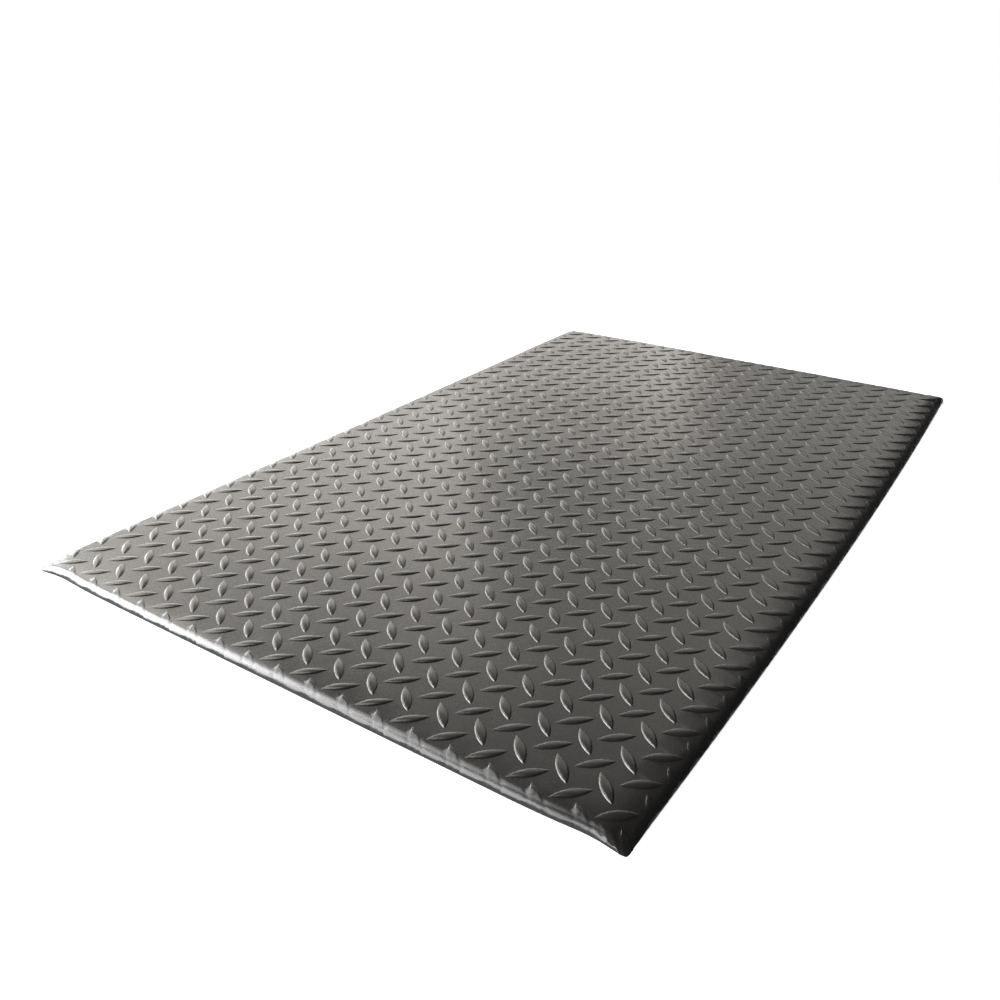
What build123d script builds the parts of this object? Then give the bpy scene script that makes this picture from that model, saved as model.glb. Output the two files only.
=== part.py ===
"""Diamond-plate anti-fatigue mat for a standing worker.

An embossed vinyl sheet lies over a closed-cell foam core and rolls down round all four of its sides.
A thin base sheet closes the underside, inside the hem of the rolled edge.

Millimetres. +Z is up and +Y runs along the long side. The origin is on the floor, under the middle.
"""

from build123d import *
import os

# Driving dimensions of the mat
MAT_WIDTH = 914.4  # short side, along X
MAT_LENGTH = 1524.0  # long side, along Y
MAT_HEIGHT = 12.7  # floor to the flat of the top sheet, between the lugs
TOP_SHEET = 2.5  # thickness of the embossed vinyl, the same round the edge
BASE_SHEET = 1.0  # thickness of the sheet that closes the underside
CORNER_RADIUS = 12.0  # outer corners, seen from above
EDGE_ROLL = 9.5  # outer radius where the top rolls over into the side
HEM_TUCK = 1.5  # outer radius where the side turns in towards the floor

# Driving dimensions of the raised pattern
LUG_LENGTH = 45.0  # tip to tip
LUG_WIDTH = 12.5  # at the foot of its waist
LUG_RISE = 1.6  # above the flat of the sheet
LUG_DRAFT = 35.0  # lean of the flanks, in degrees from upright
LUG_ROOT = 0.2  # how far a lug reaches down into the sheet, so that the two fuse
LUG_TURN = 43.0  # degrees from the short side to the lugs of the first family
COLUMN_PITCH = 50.0  # between lugs of one family, along X
ROW_PITCH = 48.4  # between lugs of one family, along Y
PATTERN_SHIFT = (5.0, -7.3)  # middle of the pattern, as the sheet happened to be cut

# Worked out from the driving dimensions
core_width = MAT_WIDTH - 2 * TOP_SHEET
core_length = MAT_LENGTH - 2 * TOP_SHEET
core_corner = CORNER_RADIUS - TOP_SHEET
core_top = MAT_HEIGHT - TOP_SHEET
core_roll = EDGE_ROLL - TOP_SHEET
core_height = core_top - BASE_SHEET
flat_width = MAT_WIDTH - 2 * EDGE_ROLL
flat_length = MAT_LENGTH - 2 * EDGE_ROLL
lug_columns = int(MAT_WIDTH / COLUMN_PITCH)
lug_rows = int(MAT_LENGTH / ROW_PITCH)


def lug(turn):
    """One raised lug: a pointed lens in plan, with leaning flanks, its long axis turned from +X."""
    half_length = LUG_LENGTH / 2
    half_width = LUG_WIDTH / 2
    foot = Plane.XY.offset(MAT_HEIGHT - LUG_ROOT).rotated((0, 0, turn))
    with BuildPart() as one_lug:
        with BuildSketch(foot):
            with BuildLine():
                ThreePointArc((-half_length, 0), (0, -half_width), (half_length, 0))
                ThreePointArc((half_length, 0), (0, half_width), (-half_length, 0))
            make_face()
        extrude(amount=LUG_ROOT + LUG_RISE, taper=LUG_DRAFT)
    return one_lug.part


def raised_pattern():
    """Two families of lugs, square to each other and half a pitch apart, that end where the edge rolls over."""
    first = lug(LUG_TURN)
    second = lug(LUG_TURN - 90)
    with BuildPart() as pattern:
        with Locations(PATTERN_SHIFT):
            with GridLocations(COLUMN_PITCH, ROW_PITCH, lug_columns, lug_rows):
                add(first)
            with GridLocations(COLUMN_PITCH, ROW_PITCH, lug_columns + 1, lug_rows + 1):
                add(second)
        with BuildSketch(Plane.XY.offset(core_top)):
            Rectangle(flat_width, flat_length)
        extrude(amount=TOP_SHEET + LUG_RISE, mode=Mode.INTERSECT)
    return pattern.part


# Foam core: the cushion, rounded where the sheet rolls over it
with BuildPart() as foam_core:
    with BuildSketch(Plane.XY.offset(BASE_SHEET)):
        RectangleRounded(core_width, core_length, core_corner)
    extrude(amount=core_height)
    fillet(foam_core.edges().group_by(Axis.Z)[-1], radius=core_roll)

# Base sheet: closes the underside and rests on the floor
with BuildPart() as base_sheet:
    with BuildSketch(Plane.XY):
        RectangleRounded(core_width, core_length, core_corner)
    extrude(amount=BASE_SHEET)

# Top sheet: the outer form less all that it covers, with the lugs raised on its flat
with BuildPart() as top_sheet:
    with BuildSketch(Plane.XY):
        RectangleRounded(MAT_WIDTH, MAT_LENGTH, CORNER_RADIUS)
    extrude(amount=MAT_HEIGHT)
    fillet(top_sheet.edges().group_by(Axis.Z)[-1], radius=EDGE_ROLL)
    fillet(top_sheet.edges().group_by(Axis.Z)[0], radius=HEM_TUCK)
    add(foam_core.part, mode=Mode.SUBTRACT)
    add(base_sheet.part, mode=Mode.SUBTRACT)
    add(raised_pattern())

top_sheet.part.label = "top_sheet"
foam_core.part.label = "foam_core"
base_sheet.part.label = "base_sheet"

os.makedirs("parts", exist_ok=True)
for piece in (top_sheet.part, foam_core.part, base_sheet.part):
    export_step(piece, f"parts/{piece.label}.step")
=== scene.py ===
"""Looks of the diamond-plate anti-fatigue mat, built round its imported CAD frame.

Metres, +Z up, +Y along the long side. The mat is one continuous embossed sheet that rolls down to the
floor on every side. It is laid out flat first, as points on the unrolled sheet, each with a height off
the skin. The points are then triangulated, wrapped over the edge and settled: the corners are pinched
and pleated, and one long edge is bowed.
"""

import math

import bpy
import numpy as np
from mathutils import Euler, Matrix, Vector
from mathutils.geometry import delaunay_2d_cdt


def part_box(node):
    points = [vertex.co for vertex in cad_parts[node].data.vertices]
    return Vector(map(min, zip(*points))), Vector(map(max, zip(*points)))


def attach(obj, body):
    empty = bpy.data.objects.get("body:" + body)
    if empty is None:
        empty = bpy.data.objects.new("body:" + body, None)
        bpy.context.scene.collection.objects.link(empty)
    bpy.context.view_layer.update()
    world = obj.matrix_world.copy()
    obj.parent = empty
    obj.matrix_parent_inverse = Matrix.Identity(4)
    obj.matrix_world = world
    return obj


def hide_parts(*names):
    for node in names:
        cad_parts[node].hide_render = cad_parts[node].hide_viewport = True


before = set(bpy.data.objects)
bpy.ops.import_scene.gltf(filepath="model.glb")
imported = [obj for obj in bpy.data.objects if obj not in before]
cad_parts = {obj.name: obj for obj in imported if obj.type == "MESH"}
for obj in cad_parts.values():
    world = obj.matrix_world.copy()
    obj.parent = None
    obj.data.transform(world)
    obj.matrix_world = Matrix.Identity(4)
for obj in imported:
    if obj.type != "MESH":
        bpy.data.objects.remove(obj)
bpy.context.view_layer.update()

# Sizes that come from the frame
sheet_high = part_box("top_sheet")[1]
core_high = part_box("foam_core")[1]
HALF_SIZE = np.array([sheet_high.x, sheet_high.y])
SHEET = sheet_high.x - core_high.x
FLAT_Z = core_high.z + SHEET
LUG_RISE = sheet_high.z - FLAT_Z
BASE_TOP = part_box("base_sheet")[1].z

# Rolled edge: a soft chamfer between a rounded crest and a tucked foot. Seen from above, each corner is part
# of a superellipse with a power of its own
ROLL_END = math.radians(112)
ROLL_FLATTEN = 0.6
CREST_RADIUS = 0.004
CORNERS = ((1, 1), (-1, 1), (-1, -1), (1, -1))
CORNER_SHARPNESS = {(-1, -1): 6.0, (1, -1): 6.0, (-1, 1): 4.0, (1, 1): 3.0}

# Fineness of the meshes, and the small clearances between their points and between the pieces
PROFILE_STEPS = 400
EDGE_START = -0.003
EDGE_ROWS = 15
EDGE_STEP = 0.0042
CORNER_STEPS = 24
LINING_ROWS = 5
CORE_STEP = 0.016
CORE_ROWS = 7
GRID_CLEARANCE = 0.001
MERGE_DISTANCE = 1e-8
TINY = 1e-9
RIM_CLEARANCE = 0.0015
SEAT_GAP = 0.0001
PATCH_SIZE = 0.070
PATCH_STEP = 0.0055

# Raised pattern: two families of pointed lugs, square to each other, each outlined by two arcs. A lug's
# section is given as the share of its full rise at each share of its half width, and its spine falls with its
# half width, to the power LUG_END_FALL
LUG_LENGTH = 0.045
LUG_WIDTH = 0.0125
LENS_RADIUS = (LUG_LENGTH**2 + LUG_WIDTH**2) / (4 * LUG_WIDTH)
LUG_TURNS = (math.radians(43), math.radians(-47))
PITCH = np.array([0.050, 0.0484])
PATTERN_SHIFT = np.array([0.0050, -0.0073])
LUG_STATIONS = (-0.90, -0.64, -0.33, 0.0, 0.33, 0.64, 0.90)
LUG_SECTION = {-0.90: 0.48, -0.72: 0.79, -0.41: 0.95, 0.0: 1.0, 0.41: 0.95, 0.72: 0.79, 0.90: 0.48}
LUG_END_FALL = 0.95
LUG_CLEARANCE = 0.0025

# Lugs sink into the roll between two distances from the crest, down to a ghost, where their feet turn soft
LUG_FADE = (-0.008, 0.002)
LUG_GHOST = 0.04
SOFT_CREASE = 0.95

# Long right edge: bowed outward, with a drop that ends at the far corner, and small gathers. The gathers
# wander by so many radians, at so many radians per metre, and swell and fade at their own radians per metre
EDGE_BOW = 0.012
EDGE_DEPTH = 0.070
RIGHT_DROP = 0.0075
RIGHT_DEPTH = 0.042
RIGHT_END = 0.050
GATHER_RISE = 0.00016
GATHER_LENGTH = 0.014
GATHER_WANDER = (2, 37)
GATHER_SWELL = 61

# Near edge's skew, every edge's soft shoulder, and slow waves in the flat, each given as (radians per metre
# across, radians per metre along, start, share)
NEAR_SKEW = 0.0055
SHOULDER_DROP = 0.0022
SHOULDER_DEPTH = 0.030
WAVE_RISE = 0.00022
WAVES = ((19, 7, 0, 1), (-9, 15, 1.3, 1), (41, 33, 0.4, 0.6))

# Corners: short sides pinched in, tips drawn out, sagging and pleated. Pleats are given as (length, turn at
# each corner, start, share). They reach in by one distance from the nearer side and another from the farther
# side. They swell between two distances past the crest, and from a third on they fall by a share
PINCH_IN = 0.0030
PINCH_AT = 0.045
PINCH_DEPTH = 0.028
PINCH_FOCUS = 4
TIP_OUT = 0.0012
TIP_SIZE = 0.014
CORNER_SAG = {(-1, -1): 0.38, (1, -1): 0.38, (-1, 1): 0.30, (1, 1): 0.0}
SAG_SIZE = 0.024
PLEAT_RISE = 0.00055
PLEAT_LENGTH = 0.0105
PLEATS = ((PLEAT_LENGTH, 1.9, 0.6, 1), (0.57 * PLEAT_LENGTH, 1, 0, 0.5))
PLEAT_SPREAD = 0.026
PLEAT_REACH = (0.05, 0.06)
PLEAT_BAND = (-0.010, 0.003)
PLEAT_FALL = (0.012, 0.7)


def smooth_step(value, start, end):
    """0 before start, 1 after end and a soft S between them."""
    share = np.clip((value - start) / (end - start), 0, 1)
    return share * share * (3 - 2 * share)


def edge_profile(height):
    """Arc length, reach and drop down the rolled edge, with the skin's lean at each, from crest to floor."""
    share = np.linspace(0, 1, PROFILE_STEPS)
    lean = ROLL_END * (share + ROLL_FLATTEN * np.sin(2 * math.pi * share) / (2 * math.pi))
    middle = (lean[1:] + lean[:-1]) / 2
    step = 1 / (PROFILE_STEPS - 1)
    reach = np.concatenate([[0], np.cumsum(np.cos(middle)) * step])
    drop = np.concatenate([[0], np.cumsum(np.sin(middle)) * step])
    scale = height / drop[-1]
    return share * scale, reach * scale, drop * scale, lean


ARC, REACH, DROP, LEAN = edge_profile(FLAT_Z)
ROLL_LENGTH = ARC[-1]
CORNER_AT = HALF_SIZE - REACH.max() - CREST_RADIUS


def past_crest(plan):
    """How far each point of the unrolled sheet lies past the crest and past the box of the corners' centres,
    and which way the edge faces there; points inside that box face nowhere."""
    over = np.abs(plan) - CORNER_AT
    past = np.maximum(over, 0)
    gap = np.hypot(past[:, 0], past[:, 1])
    heading = np.sign(plan) * past / np.maximum(gap, TINY)[:, None]
    inside = np.minimum(over.max(axis=1), 0)
    return gap + inside - CREST_RADIUS, gap, heading


def by_corner(plan, values):
    """The value of each point's own corner, from a table with one value per corner."""
    picked = np.zeros(len(plan))
    for (across, along), value in values.items():
        picked[(plan[:, 0] * across >= 0) & (plan[:, 1] * along >= 0)] = value
    return picked


def corner_stretch(plan, heading):
    """How much further the skin reaches towards each corner's tip than a round corner would."""
    power = by_corner(plan, CORNER_SHARPNESS)
    share = (np.maximum(np.abs(heading), TINY) ** power[:, None]).sum(axis=1)
    inside_crest = ~heading.any(axis=1)
    return np.where(inside_crest, 1, share) ** (-1 / power)


def wrap(plan, lift):
    """Places points of the unrolled sheet in the room, lift off the outer skin, before the sheet settles."""
    beyond, gap, heading = past_crest(plan)
    reach = np.interp(beyond, ARC, REACH)
    lean = np.interp(beyond, ARC, LEAN) * (beyond > 0)
    radius = np.where(beyond > 0, CREST_RADIUS + reach, gap) * corner_stretch(plan, heading)
    place = np.clip(plan, -CORNER_AT, CORNER_AT) + heading * radius[:, None]
    height = FLAT_Z - np.interp(beyond, ARC, DROP)
    place = place + heading * (np.sin(lean) * lift)[:, None]
    return np.column_stack([place, height + np.cos(lean) * lift])


def pleats(plan):
    """Lift of the small folds round each corner, and of the gathers along the right edge."""
    beyond, _, _ = past_crest(plan)
    over = np.abs(plan) - CORNER_AT
    along = over[:, 0] - over[:, 1]
    corner = np.sign(plan[:, 0]) * 2 + np.sign(plan[:, 1])
    folds = 0
    for length, turn, start, share in PLEATS:
        folds = folds + share * np.sin(along * 2 * math.pi / length + corner * turn + start)
    near = (over.max(axis=1) > -PLEAT_REACH[0]) * (over.min(axis=1) > -PLEAT_REACH[1])
    folds = folds * near * np.exp(-((along / PLEAT_SPREAD) ** 2))
    run = plan[:, 1]
    wander, often = GATHER_WANDER
    gathers = np.sin(run * 2 * math.pi / GATHER_LENGTH + wander * np.sin(run * often))
    gathers = gathers * (1 + np.sin(run * GATHER_SWELL)) * (plan[:, 0] > CORNER_AT[0])
    fall_start, fall = PLEAT_FALL
    band = smooth_step(beyond, *PLEAT_BAND) * (1 - fall * smooth_step(beyond, fall_start, ROLL_LENGTH))
    return (PLEAT_RISE * folds + GATHER_RISE * gathers) * band


def settle(points):
    """Bows, pinches and sags the wrapped mat the way a soft one lies."""
    x, y, z = points.T.copy()
    inward = HALF_SIZE - np.abs(points[:, :2])
    from_corner = np.hypot(inward[:, 0], inward[:, 1])

    run = np.maximum(inward[:, 0], 0) / PINCH_AT
    pull = (run * np.exp(1 - run)) ** PINCH_FOCUS
    pinch = PINCH_IN * pull * np.exp(-((inward[:, 1] / PINCH_DEPTH) ** 2))
    tip = TIP_OUT * np.exp(-((from_corner / TIP_SIZE) ** 2))
    x = x + np.sign(x) * tip
    y = y + np.sign(y) * (tip - pinch)

    bow = EDGE_BOW * (1 - (y / HALF_SIZE[1]) ** 2) * smooth_step(x, HALF_SIZE[0] - EDGE_DEPTH, HALF_SIZE[0])
    skew = NEAR_SKEW * x / HALF_SIZE[0] * smooth_step(-y, HALF_SIZE[1] - EDGE_DEPTH, HALF_SIZE[1])

    waves = 0
    for across, along, turn, share in WAVES:
        waves = waves + share * np.sin(across * x + along * y + turn)
    sag = 1 - by_corner(points, CORNER_SAG) * np.exp(-((from_corner / SAG_SIZE) ** 2))
    shoulder = SHOULDER_DROP * np.clip(1 - inward.min(axis=1) / SHOULDER_DEPTH, 0, 1) ** 2
    right = RIGHT_DROP * np.clip(1 - (HALF_SIZE[0] - x) / RIGHT_DEPTH, 0, 1) ** 2
    right = right * smooth_step(HALF_SIZE[1] - y, 0, RIGHT_END)
    z = z * (sag + (WAVE_RISE * waves - np.maximum(shoulder, right)) / FLAT_Z)
    return np.column_stack([x + bow, y - skew, z])


def turned(points, angle):
    """Plan points turned about the origin."""
    c, s = math.cos(angle), math.sin(angle)
    return points @ np.array([[c, s], [-s, c]])


def lens_half_width(along):
    """Half the width of a lug, at a distance along its long axis."""
    return math.sqrt(LENS_RADIUS**2 - along**2) - LENS_RADIUS + LUG_WIDTH / 2


def lug_template():
    """Points of one lug about its centre, with the share of the full rise at each, and its foot as edges."""
    half_length = LUG_LENGTH / 2
    points = [(-half_length, 0.0), (half_length, 0.0)]
    rise = [0.0, 0.0]
    foot = {}
    for station in LUG_STATIONS:
        along = station * half_length
        half_width = lens_half_width(along)
        spine = (half_width / (LUG_WIDTH / 2)) ** LUG_END_FALL
        for row, share in LUG_SECTION.items():
            points.append((along, row * half_width))
            rise.append(spine * share)
        for side in (-1, 1):
            foot[(station, side)] = len(points)
            points.append((along, side * half_width))
            rise.append(0.0)
    near = [0] + [foot[(station, -1)] for station in LUG_STATIONS] + [1]
    far = [foot[(station, 1)] for station in reversed(LUG_STATIONS)]
    ring = near + far
    edges = list(zip(ring, ring[1:] + ring[:1]))
    return np.array(points), np.array(rise), np.array(edges)


def lug_grid(extra):
    """Centres of one family of lugs; the second family has one more column and row than the first."""
    counts = (2 * HALF_SIZE / PITCH).astype(int) + extra
    columns = PATTERN_SHIFT[0] + PITCH[0] * (np.arange(counts[0]) - (counts[0] - 1) / 2)
    rows = PATTERN_SHIFT[1] + PITCH[1] * (np.arange(counts[1]) - (counts[1] - 1) / 2)
    x, y = np.meshgrid(columns, rows)
    return np.column_stack([x.ravel(), y.ravel()])


def lug_points():
    """Every lug's points on the unrolled sheet, with their share of the rise, and the foot edges to keep."""
    template, rise, edges = lug_template()
    plans, rises, kept = [], [], []
    start = 0
    for family, turn in enumerate(LUG_TURNS):
        shape = turned(template, turn)
        for centre in lug_grid(family):
            plans.append(centre + shape)
            rises.append(rise)
            kept.append(edges + start)
            start += len(shape)
    return np.concatenate(plans), np.concatenate(rises), np.concatenate(kept)


def clear_of_lugs(plan):
    """True where a point of the unrolled sheet stands off every lug's foot."""
    arc_centre = LENS_RADIUS - LUG_WIDTH / 2
    clear = np.ones(len(plan), bool)
    for family, turn in enumerate(LUG_TURNS):
        origin = lug_grid(family)[0]
        local = plan - origin
        local = turned(local - PITCH * np.round(local / PITCH), -turn)
        off = np.hypot(local[:, 0], np.abs(local[:, 1]) + arc_centre) - LENS_RADIUS
        clear &= (off > LUG_CLEARANCE) | (np.abs(local[:, 0]) > LUG_LENGTH / 2 + 2 * LUG_CLEARANCE)
    return clear


def outline_stations(step):
    """Points once round the box of the corners' centres, with the way that the edge faces at each."""
    places, headings = [], []
    for quarter, signs in enumerate(CORNERS):
        corner = CORNER_AT * signs
        start = quarter * math.pi / 2
        for turn in np.linspace(start, start + math.pi / 2, CORNER_STEPS):
            places.append(corner)
            headings.append((math.cos(turn), math.sin(turn)))
        run = CORNER_AT * CORNERS[(quarter + 1) % len(CORNERS)] - corner
        count = int(np.abs(run).max() / step)
        for share in np.arange(1, count) / count:
            places.append(corner + run * share)
            headings.append(headings[-1])
    return np.array(places), np.array(headings)


def flat_grid():
    """Points in the gaps between the lugs, and a finer patch at each corner where the sheet sags."""
    counts = (HALF_SIZE / PITCH).astype(int) + 1
    x, y = np.meshgrid(np.arange(-counts[0], counts[0] + 1), np.arange(-counts[1], counts[1] + 1))
    cells = np.column_stack([x.ravel(), y.ravel()]) * PITCH + PATTERN_SHIFT
    gaps = np.concatenate([cells + PITCH * (0.5, 0.0), cells + PITCH * (0.0, 0.5)])
    steps = np.arange(0, PATCH_SIZE, PATCH_STEP)
    x, y = np.meshgrid(steps, steps)
    patch = CORNER_AT - np.column_stack([x.ravel(), y.ravel()])
    plan = np.concatenate([gaps] + [patch * corner for corner in CORNERS])
    return plan[past_crest(plan)[0] < EDGE_START - GRID_CLEARANCE]


def triangulate(plan, edges):
    """Delaunay triangles over the unrolled sheet, with each point's source and the kept edges."""
    result = delaunay_2d_cdt([Vector(p) for p in plan.tolist()], edges, [], 0, MERGE_DISTANCE)
    verts, sides, faces, vert_sources, side_sources, _ = result
    source = [ids[0] if ids else -1 for ids in vert_sources]
    creases = [side for side, origin in zip(sides, side_sources) if origin]
    return np.array([v[:] for v in verts]), faces, np.array(source), creases


def mesh_object(name, points, faces, material):
    """A smooth-shaded mesh in the frame's own space."""
    mesh = bpy.data.meshes.new(name)
    mesh.from_pydata(points.tolist(), [], faces)
    mesh.validate()
    mesh.shade_smooth()
    mesh.materials.append(material)
    piece = bpy.data.objects.new(name, mesh)
    bpy.context.scene.collection.objects.link(piece)
    return piece


def sharpen(piece, creases):
    """Marks edges, given as pairs of vertices, as creases that shading doesn't smooth over."""
    mesh = piece.data
    ends = np.empty(2 * len(mesh.edges), int)
    mesh.edges.foreach_get("vertices", ends)
    wide = len(mesh.vertices)
    keys = np.sort(ends.reshape(-1, 2), axis=1) @ (wide, 1)
    sharp = np.isin(keys, np.sort(np.array(creases), axis=1) @ (wide, 1))
    layer = mesh.attributes.new("sharp_edge", "BOOLEAN", "EDGE")
    layer.data.foreach_set("value", sharp)


def add_values(piece, name, values):
    """A number per vertex that materials can read."""
    layer = piece.data.attributes.new(name, "FLOAT", "POINT")
    layer.data.foreach_set("value", np.asarray(values, np.float32))


# Materials: colours and roughness run between two values, most of them spread by a noise
VINYL_BLACK = ((0.0064, 0.0062, 0.0060), (0.0098, 0.0095, 0.0090))
VINYL_RUBBED = (0.018, 0.0175, 0.0165)
VINYL_ROUGH = (0.23, 0.29)
VINYL_IOR = 1.52
RUB_SHARE = 0.35
POLISH = 0.03
GRIT_SHARE = 0.6
FOAM_GREY = (0.030, 0.048)
FOAM_ROUGH = (0.95, 0.80)
CELL_SPAN = (0.1, 0.7)
BASE_GREY = (0.018, 0.028)
BASE_ROUGH = (0.85, 0.65)
FLOOR_GREY = (0.43, 0.45)
FLOOR_ROUGH = 0.9
FLOOR_SHINE = 0.1
NOISE_SPAN = (0.3, 0.7)


def new_material(name):
    """A new node material, with its tree and its shader node."""
    material = bpy.data.materials.new(name)
    material.use_nodes = True
    tree = material.node_tree
    return material, tree, tree.nodes["Principled BSDF"]


def node(tree, kind, **settings):
    """A node with the given properties or, for names of inputs, their values."""
    made = tree.nodes.new(kind)
    for key, value in settings.items():
        if hasattr(made, key):
            setattr(made, key, value)
        else:
            made.inputs[key.replace("_", " ")].default_value = value
    return made


def ramp(tree, source, stops):
    """Colour ramp between two (position, grey or colour) stops."""
    made = tree.nodes.new("ShaderNodeValToRGB")
    for element, (position, colour) in zip(made.color_ramp.elements, stops):
        element.position = position
        element.color = (*colour, 1) if isinstance(colour, tuple) else (colour, colour, colour, 1)
    tree.links.new(source, made.inputs["Fac"])
    return made.outputs["Color"]


def maths(tree, operation, *values):
    """The result of a Math node, whose inputs are sockets or numbers."""
    made = tree.nodes.new("ShaderNodeMath")
    made.operation = operation
    for slot, value in zip(made.inputs, values):
        if isinstance(value, (int, float)):
            slot.default_value = value
        else:
            tree.links.new(value, slot)
    return made.outputs["Value"]


def vinyl_material():
    """Embossed black vinyl: satin, finely pebbled, a little polished and greyed where feet rub the lugs."""
    material, tree, shader = new_material("embossed_vinyl")
    link = tree.links.new
    place = node(tree, "ShaderNodeTexCoord").outputs["Object"]
    cloud = node(tree, "ShaderNodeTexNoise", Scale=9.0, Detail=4.0, Roughness=0.55)
    smudge = node(tree, "ShaderNodeTexNoise", Scale=60.0, Detail=5.0, Roughness=0.65)
    pebble = node(tree, "ShaderNodeTexVoronoi", Scale=1100.0)
    grit = node(tree, "ShaderNodeTexNoise", Scale=2600.0, Detail=2.0, Roughness=0.6)
    for texture in (cloud, smudge, pebble, grit):
        link(place, texture.inputs["Vector"])
    crown = node(tree, "ShaderNodeAttribute", attribute_name="crown").outputs["Fac"]

    tone = ramp(tree, cloud.outputs["Fac"], zip(NOISE_SPAN, VINYL_BLACK))
    rubbed = node(tree, "ShaderNodeMix", data_type="RGBA")
    link(maths(tree, "MULTIPLY", crown, RUB_SHARE), rubbed.inputs["Factor"])
    link(tone, rubbed.inputs["A"])
    rubbed.inputs["B"].default_value = (*VINYL_RUBBED, 1)
    link(rubbed.outputs["Result"], shader.inputs["Base Color"])

    rough = ramp(tree, smudge.outputs["Fac"], zip(NOISE_SPAN, VINYL_ROUGH))
    polish = maths(tree, "MULTIPLY", crown, POLISH)
    link(maths(tree, "SUBTRACT", rough, polish), shader.inputs["Roughness"])

    grain = maths(tree, "MULTIPLY_ADD", grit.outputs["Fac"], GRIT_SHARE, pebble.outputs["Distance"])
    bump = node(tree, "ShaderNodeBump", Strength=0.25, Distance=0.00012)
    link(grain, bump.inputs["Height"])
    link(bump.outputs["Normal"], shader.inputs["Normal"])
    shader.inputs["IOR"].default_value = VINYL_IOR
    return material


def foam_material():
    """Closed-cell foam: matt charcoal with small round cells."""
    material, tree, shader = new_material("foam")
    link = tree.links.new
    place = node(tree, "ShaderNodeTexCoord").outputs["Object"]
    cells = node(tree, "ShaderNodeTexVoronoi", Scale=900.0)
    cloud = node(tree, "ShaderNodeTexNoise", Scale=35.0, Detail=4.0)
    link(place, cells.inputs["Vector"])
    link(place, cloud.inputs["Vector"])
    link(ramp(tree, cloud.outputs["Fac"], zip(NOISE_SPAN, FOAM_GREY)), shader.inputs["Base Color"])
    link(ramp(tree, cells.outputs["Distance"], zip(CELL_SPAN, FOAM_ROUGH)), shader.inputs["Roughness"])
    bump = node(tree, "ShaderNodeBump", Strength=0.8, Distance=0.0004)
    link(cells.outputs["Distance"], bump.inputs["Height"])
    link(bump.outputs["Normal"], shader.inputs["Normal"])
    return material


def base_material():
    """Grip sheet: matt vinyl with a fine woven print."""
    material, tree, shader = new_material("base_vinyl")
    link = tree.links.new
    place = node(tree, "ShaderNodeTexCoord").outputs["Object"]
    warp = node(tree, "ShaderNodeTexWave", bands_direction="X", Scale=160.0, Distortion=0.3)
    weft = node(tree, "ShaderNodeTexWave", bands_direction="Y", Scale=160.0, Distortion=0.3)
    cloud = node(tree, "ShaderNodeTexNoise", Scale=25.0, Detail=4.0)
    for texture in (warp, weft, cloud):
        link(place, texture.inputs["Vector"])
    weave = maths(tree, "MULTIPLY", warp.outputs["Fac"], weft.outputs["Fac"])
    link(ramp(tree, cloud.outputs["Fac"], zip(NOISE_SPAN, BASE_GREY)), shader.inputs["Base Color"])
    link(ramp(tree, weave, zip((0, 1), BASE_ROUGH)), shader.inputs["Roughness"])
    bump = node(tree, "ShaderNodeBump", Strength=0.6, Distance=0.0003)
    link(weave, bump.inputs["Height"])
    link(bump.outputs["Normal"], shader.inputs["Normal"])
    return material


# Pieces


def edge_rows(stations, headings, depths):
    """Rows of points that follow the outline, each at its own distance past the crest."""
    return [stations + headings * (CREST_RADIUS + depth) for depth in depths]


def joined(upper, upper_faces, lower, lower_faces, rim):
    """One closed body of two skins; the first points of both, rim of them, run along the same edge."""
    shift = len(upper)
    wall = [(i, shift + i, shift + (i + 1) % rim, (i + 1) % rim) for i in range(rim)]
    under = [tuple(shift + i for i in reversed(face)) for face in lower_faces]
    return np.concatenate([upper, lower]), list(upper_faces) + under + wall


def build_top_sheet(material):
    """The whole top sheet: the embossed skin, its underside, and the cut edge of the hem that joins them."""
    stations, headings = outline_stations(EDGE_STEP)
    rows = edge_rows(stations, headings, np.linspace(EDGE_START, ROLL_LENGTH, EDGE_ROWS))
    rim = rows[-1]
    lug_plan, lug_rise, lug_edges = lug_points()
    inside = past_crest(lug_plan)[0] < ROLL_LENGTH - RIM_CLEARANCE
    renumber = np.cumsum(inside) - 1
    lug_edges = lug_edges[inside[lug_edges].all(axis=1)]
    filler = np.concatenate(rows[:-1] + [flat_grid()])
    filler = filler[clear_of_lugs(filler)]
    plan = np.concatenate([rim, lug_plan[inside], filler])
    edges = renumber[lug_edges] + len(rim)
    rise = np.concatenate([np.zeros(len(rim)), lug_rise[inside], np.zeros(len(filler))])

    placed, faces, source, creases = triangulate(plan, edges.tolist())
    share = np.where(source >= 0, rise[source], 0)
    faded = smooth_step(past_crest(placed)[0], *LUG_FADE)
    share = share * (1 - (1 - LUG_GHOST) * faded)
    outer = settle(wrap(placed, LUG_RISE * share + pleats(placed)))

    lining_rows = edge_rows(stations, headings, np.linspace(ROLL_LENGTH, EDGE_START, LINING_ROWS))
    lining_plan, lining_faces, _, _ = triangulate(np.concatenate(lining_rows), [])
    inner = settle(wrap(lining_plan, np.full(len(lining_plan), -SHEET)))

    points, faces = joined(outer, faces, inner, lining_faces, len(rim))
    piece = mesh_object("top_sheet_skin", points, faces, material)
    sharpen(piece, [ends for ends in creases if faded[list(ends)].max() < SOFT_CREASE])
    add_values(piece, "crown", np.concatenate([np.clip(share, 0, 1), np.zeros(len(inner))]))
    return piece


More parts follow.
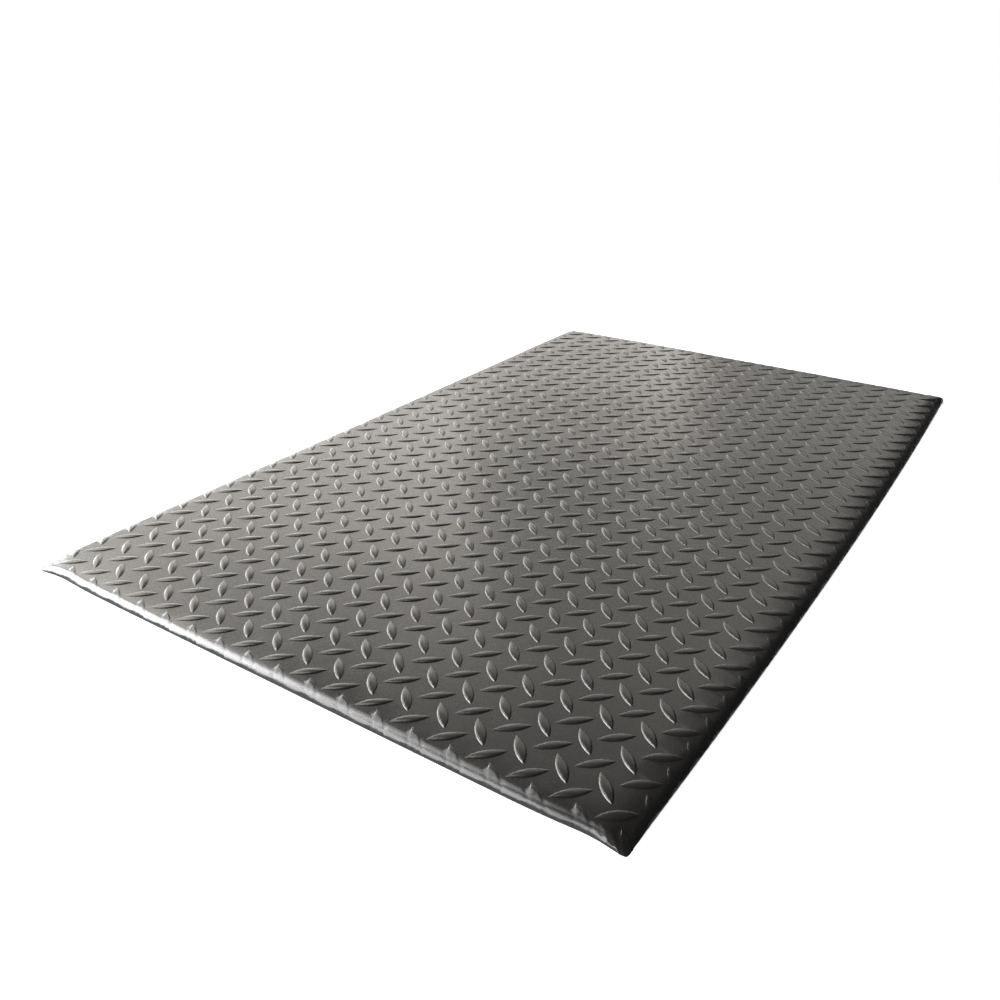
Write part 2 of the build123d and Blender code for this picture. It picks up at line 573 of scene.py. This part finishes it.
def build_core(material):
    """The foam core: fills the room between the top sheet's underside and the base sheet."""
    stations, headings = outline_stations(CORE_STEP)
    lift = -SHEET - SEAT_GAP
    depths = np.linspace(EDGE_START, ROLL_LENGTH, PROFILE_STEPS)
    heights = FLAT_Z - np.interp(depths, ARC, DROP) + np.cos(np.interp(depths, ARC, LEAN)) * lift
    last = depths[np.argmax(heights < BASE_TOP + SEAT_GAP)]
    rows = edge_rows(stations, headings, np.linspace(last, EDGE_START, CORE_ROWS))
    plan, faces, _, _ = triangulate(np.concatenate(rows + [flat_grid()]), [])
    upper = wrap(plan, np.full(len(plan), lift))
    upper[:, 2] = np.maximum(upper[:, 2], BASE_TOP + SEAT_GAP)
    lower = upper.copy()
    lower[:, 2] = BASE_TOP + SEAT_GAP / 2
    points, faces = joined(settle(upper), faces, settle(lower), faces, len(stations))
    return mesh_object("foam_core_body", points, faces, material)


def build_base(material):
    """The base sheet: a thin slab whose edge stops at the tucked hem."""
    stations, headings = outline_stations(CORE_STEP)
    foot = REACH[-1] - math.sin(ROLL_END) * SHEET - SEAT_GAP
    plan = np.concatenate([stations + headings * CREST_RADIUS, flat_grid()])
    plan, faces, _, _ = triangulate(plan, [])
    _, gap, heading = past_crest(plan)
    grow = heading * (foot * np.clip(gap / CREST_RADIUS, 0, 1) * corner_stretch(plan, heading))[:, None]
    lower = np.column_stack([plan + grow, np.zeros(len(plan))])
    upper = lower + (0, 0, BASE_TOP)
    points, faces = joined(settle(upper), faces, settle(lower), faces, len(stations))
    return mesh_object("base_sheet_body", points, faces, material)


vinyl = vinyl_material()
PIECES = {
    "top_sheet": (build_top_sheet(vinyl), "embossed_vinyl"),
    "foam_core": (build_core(foam_material()), "foam"),
    "base_sheet": (build_base(base_material()), "base_vinyl"),
}
for cad_node, (piece, slot) in PIECES.items():
    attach(piece, "root")
    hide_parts(cad_node)


# Camera: beyond the near right corner, looking along the mat and down
CAMERA_PLACE = (0.7002, -1.3717, 0.6678)
CAMERA_AZIMUTH = math.radians(32.735)
CAMERA_ELEVATION = math.radians(25.556)
CAMERA_ROLL = math.radians(1.0)
CAMERA_LENS_MM = 33.91

# Studio: softboxes on a dome, each with bearing, height, width and depth in degrees, radiance and tint
DOME_RADIUS = 8.0
WHITE = (1.0, 1.0, 1.0)
WARM = (1.0, 0.957, 0.893)
SOFTBOXES = {
    "key": (208, 24, 40, 38, 20.0, WHITE),
    "key_top": (208, 49, 44, 10, 8.0, WHITE),
    "front_left": (241, 18, 40, 24, 10.0, WHITE),
    "front_right": (315, 14, 60, 20, 1.2, WHITE),
    "left": (168, 33, 26, 26, 5.0, WARM),
    "left_flank": (172, 14, 24, 14, 9.0, WHITE),
    "left_low": (160, 6, 44, 12, 4.0, WHITE),
    "left_top": (190, 60, 80, 26, 4.6, WARM),
    "left_rear": (141, 27, 30, 14, 2.8, WARM),
    "rear_left": (131.5, 13, 43, 20, 1.95, WARM),
    "rear": (101, 18, 24, 14, 1.1, WARM),
    "rear_top": (112, 36, 44, 18, 1.15, WARM),
}
AMBIENT = 0.05
FLOOR_GLOW = 0.75
FLOOR_REACH = 5.0


def add_camera():
    """The photograph's view."""
    data = bpy.data.cameras.new("camera")
    data.lens = CAMERA_LENS_MM
    data.clip_start = 0.01
    camera = bpy.data.objects.new("camera", data)
    camera.location = CAMERA_PLACE
    aim = Euler((math.pi / 2 - CAMERA_ELEVATION, 0, CAMERA_AZIMUTH), "XYZ").to_matrix()
    spin = Euler((0, 0, CAMERA_ROLL), "XYZ").to_matrix()
    camera.rotation_euler = (aim @ spin).to_euler()
    bpy.context.scene.collection.objects.link(camera)
    bpy.context.scene.camera = camera


def add_softbox(name, bearing, height, width, depth, radiance, tint):
    """A rectangular light on the dome, turned to the middle of the mat."""
    around, up = math.radians(bearing), math.radians(height)
    flat = math.cos(up)
    place = DOME_RADIUS * Vector((math.cos(around) * flat, math.sin(around) * flat, math.sin(up)))
    data = bpy.data.lights.new(name, "AREA")
    data.shape = "RECTANGLE"
    data.size = 2 * DOME_RADIUS * math.tan(math.radians(width) / 2) * flat
    data.size_y = DOME_RADIUS * math.radians(depth)
    data.energy = math.pi * data.size * data.size_y * radiance
    data.color = tint
    light = bpy.data.objects.new(name, data)
    light.location = place
    light.rotation_euler = (-place).to_track_quat("-Z", "Y").to_euler()
    light.visible_camera = False
    bpy.context.scene.collection.objects.link(light)


def add_floor():
    """A plain pale floor, which also glows for the camera alone, so that it shows white."""
    material, tree, shader = new_material("floor")
    place = node(tree, "ShaderNodeTexCoord").outputs["Object"]
    cloud = node(tree, "ShaderNodeTexNoise", Scale=0.8, Detail=2.0)
    tree.links.new(place, cloud.inputs["Vector"])
    tree.links.new(ramp(tree, cloud.outputs["Fac"], zip(NOISE_SPAN, FLOOR_GREY)), shader.inputs["Base Color"])
    shader.inputs["Roughness"].default_value = FLOOR_ROUGH
    shader.inputs["Specular IOR Level"].default_value = FLOOR_SHINE
    path = node(tree, "ShaderNodeLightPath")
    shader.inputs["Emission Color"].default_value = (1, 1, 1, 1)
    glow = maths(tree, "MULTIPLY", path.outputs["Is Camera Ray"], FLOOR_GLOW)
    tree.links.new(glow, shader.inputs["Emission Strength"])
    size = FLOOR_REACH
    corners = np.array([(-size, -size, 0), (size, -size, 0), (size, size, 0), (-size, size, 0)])
    floor = mesh_object("floor", corners, [(0, 1, 2, 3)], material)


def add_world():
    """A white surround for the camera, and a faint even glow for everything else."""
    world = bpy.data.worlds.new("studio")
    world.use_nodes = True
    tree = world.node_tree
    path = node(tree, "ShaderNodeLightPath")
    strength = maths(tree, "MAXIMUM", path.outputs["Is Camera Ray"], AMBIENT)
    background = tree.nodes["Background"]
    background.inputs["Color"].default_value = (1, 1, 1, 1)
    tree.links.new(strength, background.inputs["Strength"])
    bpy.context.scene.world = world


add_camera()
add_floor()
add_world()
for name, shape in SOFTBOXES.items():
    add_softbox(name, *shape)
bpy.context.scene.view_settings.view_transform = "Standard"
